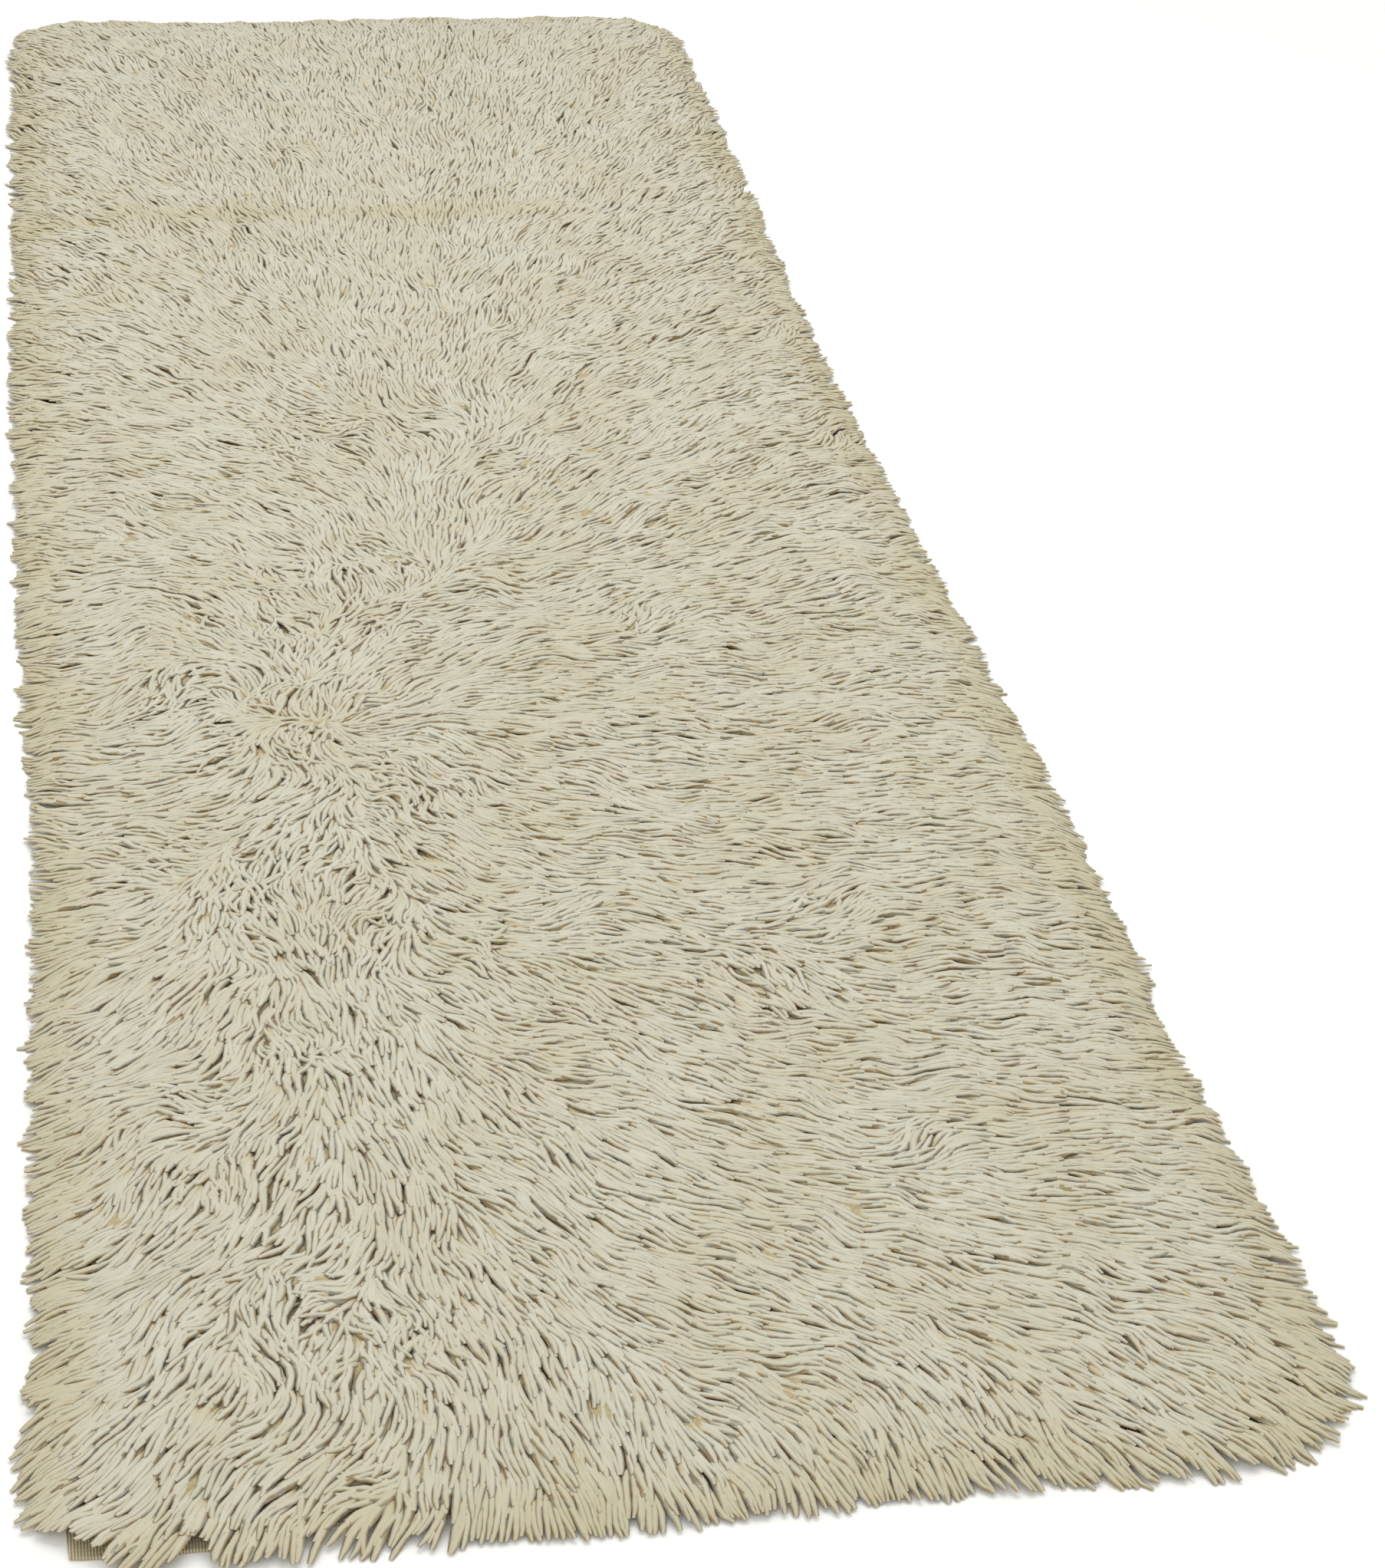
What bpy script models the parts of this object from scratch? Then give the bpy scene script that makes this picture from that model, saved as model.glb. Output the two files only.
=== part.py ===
# Long-haired wool rug lying flat: a woven ground and the lumpy pile of locks knotted into it.
# X runs across the rug, Y along it and Z up. The underside of the ground lies at Z = 0.

import math
import random
from typing import NamedTuple

import bmesh
import bpy
from mathutils import Vector

# Size across the tips of the locks
RUG_WIDTH = 0.88
RUG_LENGTH = 2.82

# Woven ground: it shows past the knots as a selvedge at each side and a flat-woven strip at each end
GROUND_THICKNESS = 0.0026
SELVEDGE_WIDTH = 0.008
END_STRIP_WIDTH = 0.020
SEAT_GAP = 0.0003

# Pile: height of the lying locks in the middle and at the rim, and the slope between
PILE_HEIGHT = 0.021
RIM_HEIGHT = 0.013
RIM_SLOPE = 0.075
CORNER_RADIUS = 0.060

# Facets of the pile across and along the rug. Each facet of the rim carries one lock.
FACETS_ACROSS = 26
FACETS_ALONG = 76

# Locks at the rim: reach past the knots, spread of their lengths and their greatest lean
SIDE_LOCK_REACH = 0.036
END_LOCK_REACH = 0.042
REACH_SPREAD = 0.26
LEAN_LIMIT = math.radians(48)
LEAN_JITTER = math.radians(10)
EDGE_CLEARANCE = 0.007

# Tufts: locks lying side by side that stand out from the pile. Those of the tousled band are
# higher, shorter and turned more, and those at the rim keep only a share of their relief.
TUFT_SPACING_ACROSS = 0.062
TUFT_SPACING_ALONG = 0.095
TUFT_LENGTH = (0.040, 0.075)
TUFT_WIDTH = (0.017, 0.026)
TUFT_RELIEF = (0.004, 0.010)
TUFT_SCATTER = 0.18
TOUSLED_WIDTH = 0.10
TOUSLED_RELIEF = 0.4
TOUSLED_SHORTENING = 0.35
TOUSLED_SCATTER = 0.60
RIM_RELIEF = 0.25
SURFACE_JITTER = 0.0014

# Colours in linear RGB
PILE_COLOUR = (0.558, 0.533, 0.407, 1.0)
GROUND_COLOUR = (0.455, 0.405, 0.270, 1.0)
WOOL_ROUGHNESS = 0.92
GROUND_ROUGHNESS = 0.95

SEED = 41


class Bend(NamedTuple):
    """A slow bend of one side: its middle and half length along the side, and how far out it goes."""

    edge: str
    place: float
    spread: float
    depth: float


class CombRow(NamedTuple):
    """Directions of the lock tips across the rug at one place along it, in degrees from +X to +Y."""

    y: float
    left: float
    inner_left: float
    middle: float
    inner_right: float
    right: float


class PartingPoint(NamedTuple):
    """A point of the tousled line where locks of two directions meet."""

    y: float
    x: float


class Station(NamedTuple):
    """One cross-section of a rim lock: its share of the root's width, and its thickness."""

    width_share: float
    thickness: float


class Tuft(NamedTuple):
    """A long low swelling of the pile that lies along the comb direction."""

    x: float
    y: float
    angle: float
    length: float
    width: float
    relief: float


BENDS = (
    Bend(edge="right", place=0.27, spread=0.55, depth=-0.017),
    Bend(edge="right", place=-0.95, spread=0.07, depth=-0.008),
    Bend(edge="left", place=-0.60, spread=0.25, depth=-0.008),
    Bend(edge="left", place=0.22, spread=0.30, depth=0.004),
    Bend(edge="back", place=-0.14, spread=0.13, depth=-0.010),
    Bend(edge="front", place=-0.12, spread=0.24, depth=0.010),
    Bend(edge="front", place=0.30, spread=0.08, depth=0.006),
)

COMB = (
    CombRow(y=1.40, left=132, inner_left=108, middle=92, inner_right=72, right=48),
    CombRow(y=1.00, left=135, inner_left=105, middle=90, inner_right=74, right=46),
    CombRow(y=0.60, left=140, inner_left=110, middle=90, inner_right=60, right=36),
    CombRow(y=0.35, left=150, inner_left=125, middle=80, inner_right=45, right=30),
    CombRow(y=0.10, left=175, inner_left=150, middle=70, inner_right=30, right=22),
    CombRow(y=-0.10, left=165, inner_left=110, middle=80, inner_right=15, right=8),
    CombRow(y=-0.40, left=178, inner_left=130, middle=30, inner_right=0, right=0),
    CombRow(y=-0.65, left=158, inner_left=235, middle=-40, inner_right=-10, right=-8),
    CombRow(y=-0.95, left=185, inner_left=262, middle=-48, inner_right=-20, right=0),
    CombRow(y=-1.15, left=200, inner_left=264, middle=-50, inner_right=-30, right=-12),
    CombRow(y=-1.30, left=212, inner_left=252, middle=-68, inner_right=-45, right=-35),
    CombRow(y=-1.40, left=222, inner_left=246, middle=-75, inner_right=-60, right=-48),
)

PARTING = (
    PartingPoint(y=0.21, x=0.01),
    PartingPoint(y=-0.09, x=-0.06),
    PartingPoint(y=-0.29, x=-0.19),
    PartingPoint(y=-0.54, x=-0.16),
    PartingPoint(y=-0.94, x=-0.24),
    PartingPoint(y=-1.19, x=-0.24),
)

# Places across the rug of the comb rows' five columns
COMB_COLUMNS = (-0.42, -0.20, 0.0, 0.20, 0.42)

LOCK_STATIONS = (
    Station(width_share=0.88, thickness=0.0125),
    Station(width_share=0.70, thickness=0.0100),
    Station(width_share=0.34, thickness=0.0060),
)


def clear_scene():
    """Removes every object of the scene."""
    for item in list(bpy.data.objects):
        bpy.data.objects.remove(item, do_unlink=True)


def smooth_step(value):
    """Rises softly from 0 to 1 as the value does."""
    value = min(max(value, 0.0), 1.0)
    return value * value * (3.0 - 2.0 * value)


def between(places, values, place):
    """Reads a value between the entries of a table whose places rise."""
    if place <= places[0]:
        return values[0]
    for index in range(1, len(places)):
        if place <= places[index]:
            share = (place - places[index - 1]) / (places[index] - places[index - 1])
            return values[index - 1] + share * (values[index] - values[index - 1])
    return values[-1]


def bend_of(edge, place):
    """Gives how far one side lies outside its straight line."""
    return sum(
        bend.depth * math.exp(-(((place - bend.place) / bend.spread) ** 2))
        for bend in BENDS
        if bend.edge == edge
    )


def comb_angle(x, y):
    """Gives the direction in which the locks lie at a place, in radians from +X to +Y."""
    rows = sorted(COMB)
    places = [row.y for row in rows]
    columns = (
        [row.left for row in rows],
        [row.inner_left for row in rows],
        [row.middle for row in rows],
        [row.inner_right for row in rows],
        [row.right for row in rows],
    )
    across = [between(places, column, y) for column in columns]
    return math.radians(between(COMB_COLUMNS, across, x))


def parting_distance(x, y):
    """Gives the distance across the rug to the tousled line, or a large one past its ends."""
    points = sorted(PARTING)
    beyond = max(points[0].y - y, y - points[-1].y, 0.0)
    line = between([point.y for point in points], [point.x for point in points], y)
    return math.hypot(x - line, beyond)


def outline_place(u, v, half_width, half_length, radius):
    """Maps a square of -1 to 1 onto the rug's plan, with round corners and bent sides."""
    x = u * half_width
    y = v * half_length
    over_x = (abs(x) - half_width + radius) / radius
    over_y = (abs(y) - half_length + radius) / radius
    if over_x > 0.0 and over_y > 0.0:
        x = math.copysign(half_width - radius + radius * over_x * math.sqrt(1.0 - over_y**2 / 2.0), x)
        y = math.copysign(half_length - radius + radius * over_y * math.sqrt(1.0 - over_x**2 / 2.0), y)
    side = "right" if u > 0.0 else "left"
    end = "back" if v > 0.0 else "front"
    return (
        x + bend_of(side, v * half_length) * u * abs(u),
        y + bend_of(end, u * half_width) * v * abs(v),
    )


def pile_half_sizes():
    """Gives half the width and half the length of the knotted field."""
    return RUG_WIDTH / 2 - SIDE_LOCK_REACH, RUG_LENGTH / 2 - END_LOCK_REACH


def make_material(name, colour, roughness):
    """Makes a plain woollen material."""
    material = bpy.data.materials.new(name)
    material.use_nodes = True
    shader = material.node_tree.nodes["Principled BSDF"]
    shader.inputs["Base Color"].default_value = colour
    shader.inputs["Roughness"].default_value = roughness
    shader.inputs["Metallic"].default_value = 0.0
    return material


def add_object(name, data, collection, material):
    """Puts a mesh or curve into the rug's collection under its own name."""
    item = bpy.data.objects.new(name, data)
    data.materials.append(material)
    collection.objects.link(item)
    return item


def ground_outline():
    """Walks once round the ground and gives its corners in plan."""
    half_width, half_length = pile_half_sizes()
    across = [2.0 * step / FACETS_ACROSS - 1.0 for step in range(FACETS_ACROSS)]
    along = [2.0 * step / FACETS_ALONG - 1.0 for step in range(FACETS_ALONG)]
    square = [(u, -1.0) for u in across] + [(1.0, v) for v in along]
    square += [(-u, 1.0) for u in across] + [(-1.0, -v) for v in along]
    return [
        outline_place(
            u,
            v,
            half_width + SELVEDGE_WIDTH,
            half_length + END_STRIP_WIDTH,
            CORNER_RADIUS + SELVEDGE_WIDTH,
        )
        for u, v in square
    ]


def make_ground(collection):
    """Makes the woven ground as a flat sheet with the rug's own outline."""
    outline = ground_outline()
    curve = bpy.data.curves.new("ground_weave", "CURVE")
    curve.dimensions = "2D"
    curve.fill_mode = "BOTH"
    curve.extrude = GROUND_THICKNESS / 2
    spline = curve.splines.new("POLY")
    spline.points.add(len(outline) - 1)
    for point, (x, y) in zip(spline.points, outline):
        point.co = (x, y, 0.0, 1.0)
    spline.use_cyclic_u = True
    ground = add_object(
        "ground_weave",
        curve,
        collection,
        make_material("undyed_wool_ground", GROUND_COLOUR, GROUND_ROUGHNESS),
    )
    ground.location.z = GROUND_THICKNESS / 2
    return ground


def scatter_tufts(dice):
    """Scatters tufts over the field, each along the comb and loose in the tousled band."""
    half_width, half_length = pile_half_sizes()
    tufts = []
    rows = round(2 * half_length / TUFT_SPACING_ALONG)
    columns = round(2 * half_width / TUFT_SPACING_ACROSS)
    for row in range(rows):
        for column in range(columns):
            shift = 0.5 * (row % 2)
            x = (column + shift + dice.uniform(0.2, 0.8)) / columns * 2 * half_width - half_width
            y = (row + dice.uniform(0.15, 0.85)) / rows * 2 * half_length - half_length
            tousled = math.exp(-((parting_distance(x, y) / TOUSLED_WIDTH) ** 2))
            tufts.append(
                Tuft(
                    x=x,
                    y=y,
                    angle=comb_angle(x, y) + dice.gauss(0.0, TUFT_SCATTER + TOUSLED_SCATTER * tousled),
                    length=dice.uniform(*TUFT_LENGTH) * (1.0 - TOUSLED_SHORTENING * tousled),
                    width=dice.uniform(*TUFT_WIDTH),
                    relief=dice.uniform(*TUFT_RELIEF) * (1.0 + TOUSLED_RELIEF * tousled),
                )
            )
    return tufts


def tuft_relief(tufts, x, y):
    """Gives the height of the tallest tuft over a place."""
    tallest = 0.0
    for tuft in tufts:
        away_x = x - tuft.x
        away_y = y - tuft.y
        if abs(away_x) + abs(away_y) > 3.0 * tuft.length:
            continue
        along = (away_x * math.cos(tuft.angle) + away_y * math.sin(tuft.angle)) / tuft.length
        across = (away_y * math.cos(tuft.angle) - away_x * math.sin(tuft.angle)) / tuft.width
        tallest = max(tallest, tuft.relief * math.exp(-along * along - across * across))
    return tallest


def turn_round(place):
    """Gives the turn of a place round the rug's middle, which puts the rim's facets in order."""
    return math.atan2(place.y / RUG_LENGTH, place.x / RUG_WIDTH)


def shape_field(mesh, tufts, dice):
    """Shapes a grid into the pile's lumpy top, closes its sides and underside and gives the rim's facets."""
    half_width, half_length = pile_half_sizes()
    seat = GROUND_THICKNESS + SEAT_GAP
    for vertex in mesh.verts:
        x, y = outline_place(vertex.co.x, vertex.co.y, half_width, half_length, CORNER_RADIUS)
        from_rim = min((1 - abs(vertex.co.x)) * half_width, (1 - abs(vertex.co.y)) * half_length)
        inside = smooth_step(from_rim / RIM_SLOPE)
        relief = tuft_relief(tufts, x, y) + dice.uniform(-SURFACE_JITTER, SURFACE_JITTER)
        relief *= RIM_RELIEF + (1.0 - RIM_RELIEF) * inside
        height = RIM_HEIGHT + (PILE_HEIGHT - RIM_HEIGHT) * inside + relief
        vertex.co = (x, y, seat + height)
    rim_edges = [edge for edge in mesh.edges if edge.is_boundary]
    walls = bmesh.ops.extrude_edge_only(mesh, edges=rim_edges)["geom"]
    for vertex in (part for part in walls if isinstance(part, bmesh.types.BMVert)):
        vertex.co.z = seat
    roots = [part for part in walls if isinstance(part, bmesh.types.BMFace)]
    roots.sort(key=lambda face: turn_round(face.calc_center_median()))
    floor_edges = [edge for edge in mesh.edges if edge.is_boundary]
    floor_edges.sort(key=lambda edge: turn_round(edge.verts[0].co + edge.verts[1].co))
    bmesh.ops.contextual_create(mesh, geom=floor_edges)
    bmesh.ops.recalc_face_normals(mesh, faces=mesh.faces)
    mesh.normal_update()
    return roots


def lock_direction(centre, outward, dice):
    """Turns a lock from straight outwards towards the comb direction, within the lean's limit."""
    wanted = comb_angle(centre.x, centre.y) + dice.uniform(-LEAN_JITTER, LEAN_JITTER)
    straight = math.atan2(outward.y, outward.x)
    lean = (wanted - straight + math.pi) % (2 * math.pi) - math.pi
    lean = min(max(lean, -LEAN_LIMIT), LEAN_LIMIT)
    return Vector((math.cos(straight + lean), math.sin(straight + lean), 0.0))


def grow_lock(mesh, root, dice):
    """Draws one tapering lock out of a facet of the rim, over the ground's edge and down to the floor."""
    centre = root.calc_center_median()
    outward = Vector((root.normal.x, root.normal.y, 0.0)).normalized()
    sideways = Vector((-outward.y, outward.x, 0.0))
    endness = abs(outward.y)
    reach = SIDE_LOCK_REACH + (END_LOCK_REACH - SIDE_LOCK_REACH) * endness
    reach *= 1.0 + dice.uniform(-REACH_SPREAD, 0.35 * REACH_SPREAD)
    past_edge = SELVEDGE_WIDTH + (END_STRIP_WIDTH - SELVEDGE_WIDTH) * endness + EDGE_CLEARANCE
    direction = lock_direction(centre, outward, dice)
    slant = direction / direction.dot(outward)
    corners = [((vertex.co - centre).dot(sideways), vertex.co.z > centre.z) for vertex in root.verts]
    distances = (past_edge, (past_edge + reach) / 2, reach)
    bottoms = (GROUND_THICKNESS + SEAT_GAP, 0.0, 0.0)
    face = root
    for station, distance, bottom in zip(LOCK_STATIONS, distances, bottoms):
        face = bmesh.ops.extrude_discrete_faces(mesh, faces=[face])["faces"][0]
        middle = centre + slant * distance
        for vertex, (offset, upper) in zip(face.verts, corners):
            vertex.co = middle + sideways * offset * station.width_share
            vertex.co.z = bottom + (station.thickness if upper else 0.0)


def make_pile(collection):
    """Makes the pile: a lumpy slab on the ground with a lock at each facet of its rim."""
    dice = random.Random(SEED)
    mesh = bmesh.new()
    bmesh.ops.create_grid(mesh, x_segments=FACETS_ACROSS, y_segments=FACETS_ALONG, size=1.0)
    roots = shape_field(mesh, scatter_tufts(dice), dice)
    for root in roots:
        grow_lock(mesh, root, dice)
    data = bpy.data.meshes.new("pile")
    mesh.to_mesh(data)
    mesh.free()
    data.shade_smooth()
    data.set_sharp_from_angle(angle=math.radians(50))
    return add_object("pile", data, collection, make_material("cream_wool_pile", PILE_COLOUR, WOOL_ROUGHNESS))


def centre_on_origin(ground, pile):
    """Moves both pieces so that the middle of the whole rug's plan is at the origin."""
    places = [vertex.co for vertex in pile.data.vertices]
    middle_x = (min(place.x for place in places) + max(place.x for place in places)) / 2
    middle_y = (min(place.y for place in places) + max(place.y for place in places)) / 2
    for item in (ground, pile):
        item.location.x = -middle_x
        item.location.y = -middle_y


def main():
    """Builds the rug."""
    clear_scene()
    collection = bpy.data.collections.new("tulu_rug")
    bpy.context.scene.collection.children.link(collection)
    ground = make_ground(collection)
    pile = make_pile(collection)
    centre_on_origin(ground, pile)


main()
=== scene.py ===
"""Dresses a long-haired wool rug: its woven ground and the thousands of combed locks knotted into it."""

import logging
import math
from dataclasses import dataclass, field
from enum import Enum
from typing import Any, Iterable, NamedTuple

import bmesh
import bpy
import numpy as np
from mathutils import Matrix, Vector
from mathutils.bvhtree import BVHTree


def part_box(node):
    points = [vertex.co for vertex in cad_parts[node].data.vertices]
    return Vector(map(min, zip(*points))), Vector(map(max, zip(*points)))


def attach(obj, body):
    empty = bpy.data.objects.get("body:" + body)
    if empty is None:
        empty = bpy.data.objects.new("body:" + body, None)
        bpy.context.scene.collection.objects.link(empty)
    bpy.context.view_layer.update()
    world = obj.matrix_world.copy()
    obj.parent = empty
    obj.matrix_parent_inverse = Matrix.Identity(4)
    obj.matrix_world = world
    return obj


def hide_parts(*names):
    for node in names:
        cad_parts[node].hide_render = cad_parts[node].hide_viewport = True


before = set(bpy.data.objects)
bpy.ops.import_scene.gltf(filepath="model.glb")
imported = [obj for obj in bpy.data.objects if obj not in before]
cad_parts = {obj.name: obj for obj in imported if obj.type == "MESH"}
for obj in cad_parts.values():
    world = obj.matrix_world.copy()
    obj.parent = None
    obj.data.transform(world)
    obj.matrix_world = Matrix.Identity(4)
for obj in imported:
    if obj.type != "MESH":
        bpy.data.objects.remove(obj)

log = logging.getLogger("rug")

BODY = "root"
GROUND_NODE = "ground_weave"
PILE_NODE = "pile"


class CombRow(NamedTuple):
    """Directions of the lock tips at one place along the rug, in degrees from +X to +Y."""

    y: float
    left_rim: float
    left: float
    inner_left: float
    middle_left: float
    middle: float
    middle_right: float
    right: float
    right_rim: float


class TousledPatch(NamedTuple):
    """A place where the locks are ruffled: how much, and how far they turn round its middle."""

    x: float
    y: float
    radius: float
    ruffle: float
    turn: float


# Places across the rug of the columns of the comb table, in metres from its middle
COMB_PLACES = (-0.42, -0.33, -0.22, -0.10, 0.02, 0.14, 0.28, 0.42)

COMB = (
    CombRow(1.40, 130, 122, 110, 98, 90, 80, 62, 50),
    CombRow(1.21, 130, 122, 108, 97, 90, 78, 62, 50),
    CombRow(1.01, 132, 122, 108, 96, 90, 76, 60, 48),
    CombRow(0.81, 135, 126, 110, 94, 88, 70, 55, 42),
    CombRow(0.61, 138, 128, 112, 95, 85, 58, 40, 34),
    CombRow(0.41, 146, 138, 124, 100, 75, 48, 34, 28),
    CombRow(0.26, 155, 150, 140, 110, 70, 38, 30, 26),
    CombRow(0.11, 168, 168, 160, 120, 60, 32, 26, 22),
    CombRow(-0.02, 160, 138, 150, 98, 68, 28, 18, 12),
    CombRow(-0.09, 168, 178, 140, 86, 30, 20, 14, 8),
    CombRow(-0.23, 168, 205, 120, 10, 5, 10, 8, 4),
    CombRow(-0.34, 165, 215, 100, 45, 0, -10, 0, 0),
    CombRow(-0.45, 150, 180, 240, -30, -25, -12, -3, -4),
    CombRow(-0.54, 150, 185, 212, -45, -28, -12, -5, -5),
    CombRow(-0.64, 160, 205, 250, -42, -20, -12, -10, -8),
    CombRow(-0.74, 186, 214, 268, -60, -25, -14, -8, -5),
    CombRow(-0.84, 192, 230, 268, -65, -40, -18, -8, -4),
    CombRow(-0.94, 188, 190, 265, -60, -40, -25, -8, -2),
    CombRow(-1.04, 192, 232, 265, -55, -38, -35, -10, -4),
    CombRow(-1.13, 198, 225, 262, -60, -35, -32, -20, -8),
    CombRow(-1.22, 200, 225, 255, -78, -25, -50, -32, -22),
    CombRow(-1.31, 210, 235, 248, -80, -65, -68, -50, -38),
    CombRow(-1.405, 215, 238, 250, -85, -76, -72, -62, -55),
)

TOUSLED = tuple(
    TousledPatch(*row)
    for row in (
        (0.00, 0.20, 0.045, 0.5, 1.6),
        (-0.10, 0.17, 0.050, 0.7, 0.8),
        (-0.17, 0.14, 0.060, 0.9, 0.0),
        (0.16, 0.34, 0.035, 0.5, -0.6),
        (0.03, 0.08, 0.045, 0.6, -0.9),
        (-0.18, -0.14, 0.060, 1.0, 0.0),
        (-0.09, -0.12, 0.050, 0.8, 1.4),
        (0.00, -0.15, 0.045, 0.6, -1.1),
        (-0.27, -0.23, 0.045, 0.6, -0.9),
        (-0.19, -0.23, 0.060, 1.0, 0.6),
        (-0.11, -0.23, 0.045, 0.8, 0.0),
        (0.12, -0.24, 0.030, 0.5, 1.1),
        (0.20, -0.27, 0.025, 0.5, -0.9),
        (-0.29, -0.34, 0.060, 0.9, 0.5),
        (-0.20, -0.35, 0.060, 1.0, -0.6),
        (-0.26, -0.45, 0.045, 0.6, 0.4),
        (-0.18, -0.44, 0.055, 1.0, 0.8),
        (-0.11, -0.52, 0.050, 0.9, -0.7),
        (-0.16, -0.55, 0.045, 0.7, 0.9),
        (-0.31, -0.61, 0.050, 0.8, -0.8),
        (-0.26, -0.64, 0.050, 0.9, 0.9),
        (-0.18, -0.64, 0.045, 0.8, -0.6),
        (-0.27, -0.73, 0.045, 0.7, 0.8),
        (-0.16, -0.72, 0.045, 0.7, -0.7),
        (-0.08, -0.74, 0.050, 0.7, 0.8),
        (-0.01, -0.70, 0.030, 0.5, 1.2),
        (0.13, -0.82, 0.055, 0.6, -0.8),
        (0.20, -0.73, 0.045, 0.6, 0.9),
        (-0.06, -0.87, 0.035, 0.4, 1.2),
        (-0.24, -0.88, 0.050, 0.7, 0.5),
        (-0.36, -0.95, 0.030, 0.5, 1.2),
        (-0.31, -0.93, 0.040, 0.6, -0.9),
        (0.20, -1.04, 0.030, 0.4, 1.4),
        (-0.32, -1.02, 0.040, 0.6, 0.8),
        (-0.24, -1.15, 0.060, 0.8, -0.7),
        (-0.21, -1.21, 0.055, 0.8, 0.8),
        (-0.32, -1.21, 0.050, 0.7, 0.7),
        (0.04, -1.25, 0.035, 0.4, 0.7),
        (-0.23, -1.33, 0.050, 0.5, -0.5),
        (0.40, 0.41, 0.028, 0.4, 0.6),
        (0.39, 0.14, 0.025, 0.4, 0.6),
    )
)


def linear(colour: str) -> tuple[float, float, float, float]:
    """Turns an sRGB hex colour into linear values.

    Args:
        colour: The colour, such as "#d6d2bd".

    Returns:
        Red, green, blue and alpha.
    """
    parts = [int(colour[start:start + 2], 16) / 255 for start in (1, 3, 5)]
    red, green, blue = (
        part / 12.92 if part <= 0.04045 else ((part + 0.055) / 1.055) ** 2.4 for part in parts
    )
    return red, green, blue, 1.0


def add_node(tree: Any, kind: str, settings: dict | None = None, links: dict | None = None) -> Any:
    """Adds a node to a tree with its settings and links.

    Args:
        tree: The node tree.
        kind: The node's type name.
        settings: Values by the name of a property, or by the name or number of an input.
        links: Output sockets by the name or number of the input that each one feeds.

    Returns:
        The new node.
    """
    node = tree.nodes.new(kind)
    for key, value in (settings or {}).items():
        if isinstance(key, str) and hasattr(node, key):
            setattr(node, key, value)
        else:
            node.inputs[key].default_value = value
    for key, socket in (links or {}).items():
        tree.links.new(socket, node.inputs[key])
    return node


def start_material(name: str, roughness: float, specular: float) -> tuple[bpy.types.Material, Any]:
    """Starts a material.

    Args:
        name: Its name.
        roughness: Its roughness.
        specular: How much it shines, where 0.5 is usual.

    Returns:
        The material, and its shader.
    """
    material = bpy.data.materials.new(name)
    material.use_nodes = True
    shader = material.node_tree.nodes["Principled BSDF"]
    shader.inputs["Roughness"].default_value = roughness
    shader.inputs["Specular IOR Level"].default_value = specular
    return material, shader


def dress(shader: Any, colour: Any, normal: Any) -> None:
    """Links the sockets of a colour and a normal to a shader."""
    shader.id_data.links.new(colour, shader.inputs["Base Color"])
    shader.id_data.links.new(normal, shader.inputs["Normal"])


def attribute(tree: Any, name: str) -> Any:
    """Gives the socket of a value that the mesh carries."""
    return add_node(tree, "ShaderNodeAttribute", {"attribute_name": name}).outputs["Fac"]


def compute(tree: Any, operation: str, *parts: Any) -> Any:
    """Adds one step of arithmetic.

    Args:
        tree: The node tree.
        operation: The step's name.
        parts: What it works on, each a number or a socket.

    Returns:
        The result's socket.
    """
    numbers = {key: part for key, part in enumerate(parts) if isinstance(part, float)}
    sockets = {key: part for key, part in enumerate(parts) if key not in numbers}
    return add_node(tree, "ShaderNodeMath", {"operation": operation, **numbers}, sockets).outputs[0]


def ramp(tree: Any, value: Any, start: float, end: float, top: float = 1.0) -> Any:
    """Gives the socket of a soft rise from 0 to the top, as a value goes from the start to the end."""
    settings = {"interpolation_type": "SMOOTHSTEP", "From Min": start, "From Max": end, "To Max": top}
    return add_node(tree, "ShaderNodeMapRange", settings, {0: value}).outputs[0]


def mix(tree: Any, share: Any, first: Any, second: Any) -> Any:
    """Mixes two colours.

    Args:
        tree: The node tree.
        share: The socket of the second colour's share.
        first: The first colour, as a hex text or a socket.
        second: The second one.

    Returns:
        The mixed colour's socket.
    """
    node = add_node(tree, "ShaderNodeMix", {"data_type": "RGBA"}, {0: share})
    for key, colour in ((6, first), (7, second)):
        if isinstance(colour, str):
            node.inputs[key].default_value = linear(colour)
        else:
            tree.links.new(colour, node.inputs[key])
    return node.outputs[2]


def bump(tree: Any, height: Any, strength: float, distance: float) -> Any:
    """Gives the socket of the normal of a relief."""
    settings = {"Strength": strength, "Distance": distance}
    return add_node(tree, "ShaderNodeBump", settings, {"Height": height}).outputs[0]


def smooth_step(value: np.ndarray) -> np.ndarray:
    """Rises softly from 0 to 1 as the value does."""
    value = np.clip(value, 0.0, 1.0)
    return value * value * (3.0 - 2.0 * value)


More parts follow.
